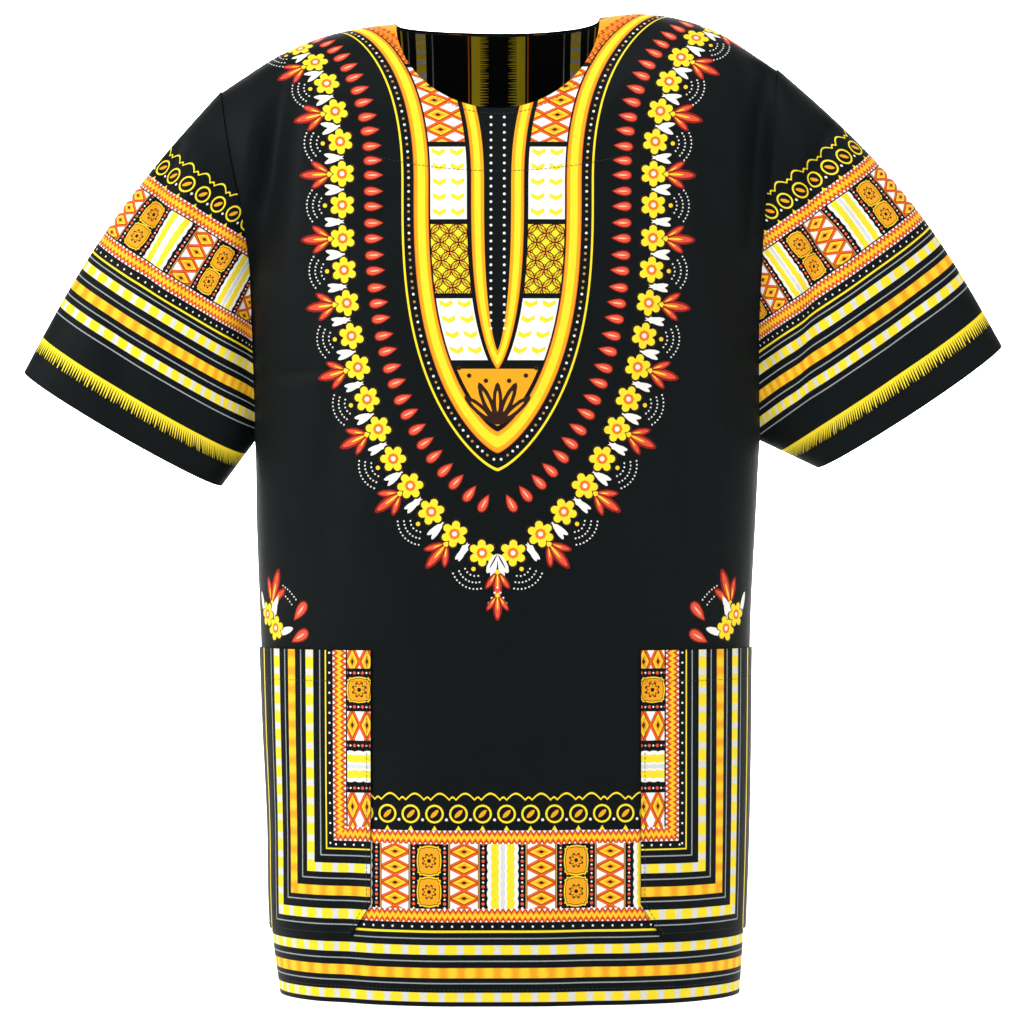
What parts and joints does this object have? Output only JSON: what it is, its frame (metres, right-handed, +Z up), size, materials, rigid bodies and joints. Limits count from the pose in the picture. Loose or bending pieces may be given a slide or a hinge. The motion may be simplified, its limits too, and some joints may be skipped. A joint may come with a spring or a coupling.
{
  "type": "african print dashiki tunic",
  "caption": "Wide short-sleeved pullover tunic of printed cotton with a round faced neck and side patch pockets, filled out as worn, hollow and open at neck, cuffs and hem.",
  "frame": {"origin": "middle of the neck at shoulder height, halfway between the front and back of the neck opening, where the shoulders hold the tunic", "axes": "+Z up, -Y is the front of the tunic, +X is towards the wearer's left sleeve"},
  "size_m": [0.78, 0.2183, 0.781],
  "materials": {
    "body_cotton": "matt plain-weave cotton, wax printed in yellow, orange and coral on near-black",
    "sleeve_cotton": "matt plain-weave cotton, wax printed with border bands along the cuff",
    "pocket_cotton": "matt plain-weave cotton, wax printed with border stripes",
    "facing_cotton": "matt plain-weave cotton, wax printed with upright stripes"
  },
  "bodies": {
    "root": {"front": "body_cotton", "back": "body_cotton", "sleeve_left": "sleeve_cotton", "sleeve_right": "sleeve_cotton", "pocket_left": "pocket_cotton", "pocket_right": "pocket_cotton", "neck_facing": "facing_cotton"}
  },
  "joints": []
}
